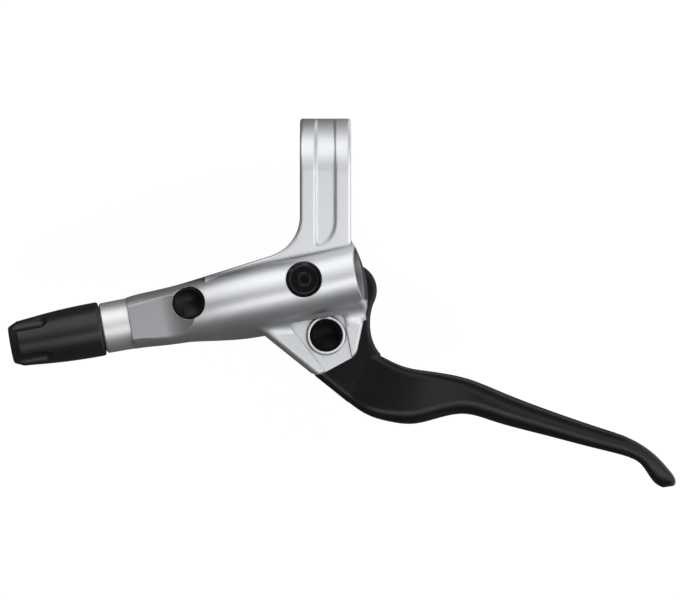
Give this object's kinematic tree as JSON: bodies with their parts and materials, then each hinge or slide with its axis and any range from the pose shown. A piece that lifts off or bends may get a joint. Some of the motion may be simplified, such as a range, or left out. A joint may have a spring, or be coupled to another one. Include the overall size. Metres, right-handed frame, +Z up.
{
  "type": "hydraulic bicycle brake lever",
  "caption": "Silver hydraulic disc-brake lever with a handlebar clamp, master cylinder, reservoir, hose cover and black finger lever on a pivot.",
  "frame": {"origin": "centre of the handlebar clamp's bore", "axes": "+X along the handlebar towards its open end, +Y to the rider, away from the lever, +Z up out of the bleed screw's face"},
  "size_m": [0.1941, 0.1072, 0.0343],
  "materials": {
    "silver_painted_casting": "satin silver paint over a die-cast aluminium body",
    "black_painted_lever": "satin black paint over forged aluminium",
    "black_rubber_cover": "matt moulded rubber",
    "black_moulded_plastic": "moulded, half matt",
    "black_plated_steel": "black plated steel",
    "bright_steel": "turned bright",
    "spring_steel": "drawn wire",
    "brass": "turned",
    "acetal": "moulded, natural",
    "anodised_aluminium": "clear anodised, turned",
    "seal_rubber": "moulded"
  },
  "bodies": {
    "bracket": {"lever_body": "silver_painted_casting", "clamp_bolt": "black_plated_steel", "bleed_screw": "black_plated_steel", "bleed_o_ring": "seal_rubber", "port_plug": "black_moulded_plastic", "pivot_pin": "bright_steel", "pivot_cap": "black_moulded_plastic", "reservoir_diaphragm": "seal_rubber", "diaphragm_retainer": "black_moulded_plastic", "connecting_bolt": "brass", "olive": "brass", "hose_cover": "black_rubber_cover", "return_spring": "spring_steel", "stop_washer": "bright_steel", "circlip": "bright_steel"},
    "lever": {"lever_blade": "black_painted_lever", "upper_pivot_bush": "acetal", "lower_pivot_bush": "acetal"},
    "push_rod": {"push_rod": "bright_steel", "barrel_nut": "brass"},
    "piston": {"piston": "anodised_aluminium", "primary_seal": "seal_rubber", "secondary_seal": "seal_rubber"}
  },
  "joints": [
    {"name": "lever_pivot", "type": "hinge", "parent": "bracket", "child": "lever", "pos_m": [0.00018, -0.04849, 0], "axis": [0, 0, 1], "range_deg": [0, 24], "stiffness_Nm_per_rad": 0.6, "springref_deg": -28.65},
    {"name": "push_rod_pivot", "type": "hinge", "parent": "lever", "child": "push_rod", "pos_m": [0.00543, -0.03401, 0], "axis": [0, 0, 1], "range_deg": [-19.24, 0]},
    {"name": "piston_slide", "type": "slide", "parent": "bracket", "child": "piston", "axis": [-0.9836, -0.1805, 0], "range_m": [0, 0.0061], "deforming": ["return_spring"]}
  ],
  "couplings": [
    {"joint": "push_rod_pivot", "follows": "lever_pivot", "ratio": -0.79972},
    {"joint": "piston_slide", "follows": "lever_pivot", "m_per_rad": 0.014513}
  ]
}
